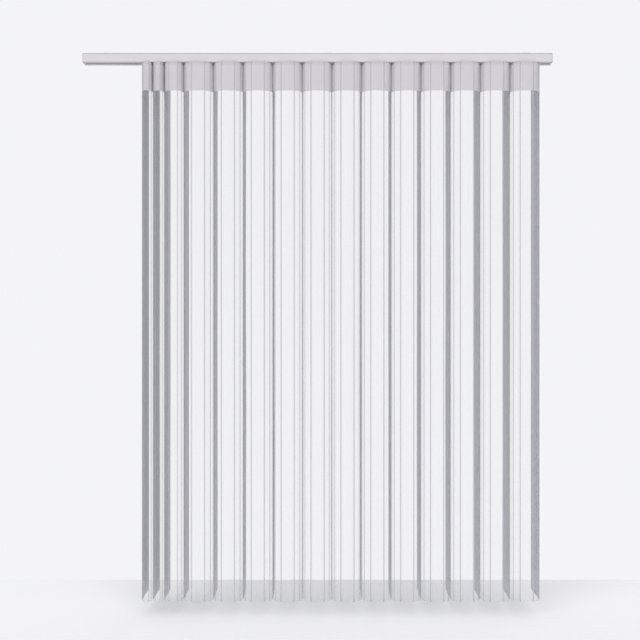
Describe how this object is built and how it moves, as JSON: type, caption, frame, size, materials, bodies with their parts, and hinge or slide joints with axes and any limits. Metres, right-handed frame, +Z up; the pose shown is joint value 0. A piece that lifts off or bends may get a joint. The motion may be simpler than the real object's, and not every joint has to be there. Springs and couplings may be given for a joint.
{
  "type": "vertical blind",
  "caption": "Ceiling-fixed vertical blind: a slim headrail carries sliding trucks with tilting fabric blades behind softly waved sheer panels with a dense header.",
  "frame": {"origin": "in the ceiling plane, midway between the two outer fixing screws", "axes": "+X along the rail to the stacking end, -Y to the room, +Z up"},
  "size_m": [1.737, 0.1605, 2.0251],
  "materials": {
    "rail_paint": "satin powder coat",
    "cap_plastic": "fine grain",
    "bracket_metal": "satin",
    "rod_metal": "drawn",
    "truck_plastic": "moulded",
    "blade_cloth": "close plain weave",
    "sheer_cloth": "fine voile"
  },
  "bodies": {
    "rail": {"headrail": "rail_paint", "end_cap_left": "cap_plastic", "end_cap_right": "cap_plastic", "bracket_left": "bracket_metal", "bracket_middle": "bracket_metal", "bracket_right": "bracket_metal", "truck_16": "truck_plastic"},
    "rod": {"tilt_rod": "rod_metal"},
    "carriage_01": {"truck_01": "truck_plastic", "sheer_01": "sheer_cloth"},
    "carriage_02": {"truck_02": "truck_plastic", "sheer_02": "sheer_cloth"},
    "carriage_03": {"truck_03": "truck_plastic", "sheer_03": "sheer_cloth"},
    "carriage_04": {"truck_04": "truck_plastic", "sheer_04": "sheer_cloth"},
    "carriage_05": {"truck_05": "truck_plastic", "sheer_05": "sheer_cloth"},
    "carriage_06": {"truck_06": "truck_plastic", "sheer_06": "sheer_cloth"},
    "carriage_07": {"truck_07": "truck_plastic", "sheer_07": "sheer_cloth"},
    "carriage_08": {"truck_08": "truck_plastic", "sheer_08": "sheer_cloth"},
    "carriage_09": {"truck_09": "truck_plastic", "sheer_09": "sheer_cloth"},
    "carriage_10": {"truck_10": "truck_plastic", "sheer_10": "sheer_cloth"},
    "carriage_11": {"truck_11": "truck_plastic", "sheer_11": "sheer_cloth"},
    "carriage_12": {"truck_12": "truck_plastic", "sheer_12": "sheer_cloth"},
    "carriage_13": {"truck_13": "truck_plastic", "sheer_13": "sheer_cloth"},
    "carriage_14": {"truck_14": "truck_plastic", "sheer_14": "sheer_cloth"},
    "carriage_15": {"truck_15": "truck_plastic", "sheer_15": "sheer_cloth"},
    "vane_01": {"blade_01": "blade_cloth"},
    "vane_02": {"blade_02": "blade_cloth"},
    "vane_03": {"blade_03": "blade_cloth"},
    "vane_04": {"blade_04": "blade_cloth"},
    "vane_05": {"blade_05": "blade_cloth"},
    "vane_06": {"blade_06": "blade_cloth"},
    "vane_07": {"blade_07": "blade_cloth"},
    "vane_08": {"blade_08": "blade_cloth"},
    "vane_09": {"blade_09": "blade_cloth"},
    "vane_10": {"blade_10": "blade_cloth"},
    "vane_11": {"blade_11": "blade_cloth"},
    "vane_12": {"blade_12": "blade_cloth"},
    "vane_13": {"blade_13": "blade_cloth"},
    "vane_14": {"blade_14": "blade_cloth"},
    "vane_15": {"blade_15": "blade_cloth"},
    "vane_16": {"blade_16": "blade_cloth"}
  },
  "joints": [
    {"name": "slide_15", "type": "slide", "parent": "rail", "child": "carriage_15", "axis": [1, 0, 0], "range_m": [0, 0.084], "deforming": ["sheer_15"]},
    {"name": "slide_14", "type": "slide", "parent": "carriage_15", "child": "carriage_14", "axis": [1, 0, 0], "range_m": [0, 0.084], "deforming": ["sheer_14"]},
    {"name": "slide_13", "type": "slide", "parent": "carriage_14", "child": "carriage_13", "axis": [1, 0, 0], "range_m": [0, 0.084], "deforming": ["sheer_13"]},
    {"name": "slide_12", "type": "slide", "parent": "carriage_13", "child": "carriage_12", "axis": [1, 0, 0], "range_m": [0, 0.084], "deforming": ["sheer_12"]},
    {"name": "slide_11", "type": "slide", "parent": "carriage_12", "child": "carriage_11", "axis": [1, 0, 0], "range_m": [0, 0.084], "deforming": ["sheer_11"]},
    {"name": "slide_10", "type": "slide", "parent": "carriage_11", "child": "carriage_10", "axis": [1, 0, 0], "range_m": [0, 0.084], "deforming": ["sheer_10"]},
    {"name": "slide_09", "type": "slide", "parent": "carriage_10", "child": "carriage_09", "axis": [1, 0, 0], "range_m": [0, 0.084], "deforming": ["sheer_09"]},
    {"name": "slide_08", "type": "slide", "parent": "carriage_09", "child": "carriage_08", "axis": [1, 0, 0], "range_m": [0, 0.084], "deforming": ["sheer_08"]},
    {"name": "slide_07", "type": "slide", "parent": "carriage_08", "child": "carriage_07", "axis": [1, 0, 0], "range_m": [0, 0.084], "deforming": ["sheer_07"]},
    {"name": "slide_06", "type": "slide", "parent": "carriage_07", "child": "carriage_06", "axis": [1, 0, 0], "range_m": [0, 0.084], "deforming": ["sheer_06"]},
    {"name": "slide_05", "type": "slide", "parent": "carriage_06", "child": "carriage_05", "axis": [1, 0, 0], "range_m": [0, 0.084], "deforming": ["sheer_05"]},
    {"name": "slide_04", "type": "slide", "parent": "carriage_05", "child": "carriage_04", "axis": [1, 0, 0], "range_m": [0, 0.084], "deforming": ["sheer_04"]},
    {"name": "slide_03", "type": "slide", "parent": "carriage_04", "child": "carriage_03", "axis": [1, 0, 0], "range_m": [-0.038, 0.046], "deforming": ["sheer_03"]},
    {"name": "slide_02", "type": "slide", "parent": "carriage_03", "child": "carriage_02", "axis": [1, 0, 0], "range_m": [-0.0685, 0.0155], "deforming": ["sheer_02"]},
    {"name": "slide_01", "type": "slide", "parent": "carriage_02", "child": "carriage_01", "axis": [1, 0, 0], "range_m": [-0.0685, 0.0155], "deforming": ["sheer_01"]},
    {"name": "tilt_16", "type": "hinge", "parent": "rail", "child": "vane_16", "pos_m": [0.8235, 0, -1], "axis": [0, 0, 1], "range_deg": [-80, 80]},
    {"name": "tilt_15", "type": "hinge", "parent": "carriage_15", "child": "vane_15", "pos_m": [0.7135, 0, -1], "axis": [0, 0, 1], "range_deg": [-80, 80]},
    {"name": "tilt_14", "type": "hinge", "parent": "carriage_14", "child": "vane_14", "pos_m": [0.6035, 0, -1], "axis": [0, 0, 1], "range_deg": [-80, 80]},
    {"name": "tilt_13", "type": "hinge", "parent": "carriage_13", "child": "vane_13", "pos_m": [0.4935, 0, -1], "axis": [0, 0, 1], "range_deg": [-80, 80]},
    {"name": "tilt_12", "type": "hinge", "parent": "carriage_12", "child": "vane_12", "pos_m": [0.3835, 0, -1], "axis": [0, 0, 1], "range_deg": [-80, 80]},
    {"name": "tilt_11", "type": "hinge", "parent": "carriage_11", "child": "vane_11", "pos_m": [0.2735, 0, -1], "axis": [0, 0, 1], "range_deg": [-80, 80]},
    {"name": "tilt_10", "type": "hinge", "parent": "carriage_10", "child": "vane_10", "pos_m": [0.1635, 0, -1], "axis": [0, 0, 1], "range_deg": [-80, 80]},
    {"name": "tilt_09", "type": "hinge", "parent": "carriage_09", "child": "vane_09", "pos_m": [0.0535, 0, -1], "axis": [0, 0, 1], "range_deg": [-80, 80]},
    {"name": "tilt_08", "type": "hinge", "parent": "carriage_08", "child": "vane_08", "pos_m": [-0.0565, 0, -1], "axis": [0, 0, 1], "range_deg": [-80, 80]},
    {"name": "tilt_07", "type": "hinge", "parent": "carriage_07", "child": "vane_07", "pos_m": [-0.1665, 0, -1], "axis": [0, 0, 1], "range_deg": [-80, 80]},
    {"name": "tilt_06", "type": "hinge", "parent": "carriage_06", "child": "vane_06", "pos_m": [-0.2765, 0, -1], "axis": [0, 0, 1], "range_deg": [-80, 80]},
    {"name": "tilt_05", "type": "hinge", "parent": "carriage_05", "child": "vane_05", "pos_m": [-0.3865, 0, -1], "axis": [0, 0, 1], "range_deg": [-80, 80]},
    {"name": "tilt_04", "type": "hinge", "parent": "carriage_04", "child": "vane_04", "pos_m": [-0.4965, 0, -1], "axis": [0, 0, 1], "range_deg": [-80, 80]},
    {"name": "tilt_03", "type": "hinge", "parent": "carriage_03", "child": "vane_03", "pos_m": [-0.5685, 0, -1], "axis": [0, 0, 1], "range_deg": [-80, 80]},
    {"name": "tilt_02", "type": "hinge", "parent": "carriage_02", "child": "vane_02", "pos_m": [-0.61, 0, -1], "axis": [0, 0, 1], "range_deg": [-80, 80]},
    {"name": "tilt_01", "type": "hinge", "parent": "carriage_01", "child": "vane_01", "pos_m": [-0.6515, 0, -1], "axis": [0, 0, 1], "range_deg": [-80, 80]},
    {"name": "rod_spin", "type": "hinge", "parent": "rail", "child": "rod", "pos_m": [0, 0.0115, -0.0212], "axis": [1, 0, 0], "range_deg": [-240, 240]}
  ],
  "couplings": [
    {"joint": "tilt_15", "follows": "tilt_16", "ratio": 1},
    {"joint": "tilt_14", "follows": "tilt_16", "ratio": 1},
    {"joint": "tilt_13", "follows": "tilt_16", "ratio": 1},
    {"joint": "tilt_12", "follows": "tilt_16", "ratio": 1},
    {"joint": "tilt_11", "follows": "tilt_16", "ratio": 1},
    {"joint": "tilt_10", "follows": "tilt_16", "ratio": 1},
    {"joint": "tilt_09", "follows": "tilt_16", "ratio": 1},
    {"joint": "tilt_08", "follows": "tilt_16", "ratio": 1},
    {"joint": "tilt_07", "follows": "tilt_16", "ratio": 1},
    {"joint": "tilt_06", "follows": "tilt_16", "ratio": 1},
    {"joint": "tilt_05", "follows": "tilt_16", "ratio": 1},
    {"joint": "tilt_04", "follows": "tilt_16", "ratio": 1},
    {"joint": "tilt_03", "follows": "tilt_16", "ratio": 1},
    {"joint": "tilt_02", "follows": "tilt_16", "ratio": 1},
    {"joint": "tilt_01", "follows": "tilt_16", "ratio": 1},
    {"joint": "rod_spin", "follows": "tilt_16", "ratio": 3}
  ]
}
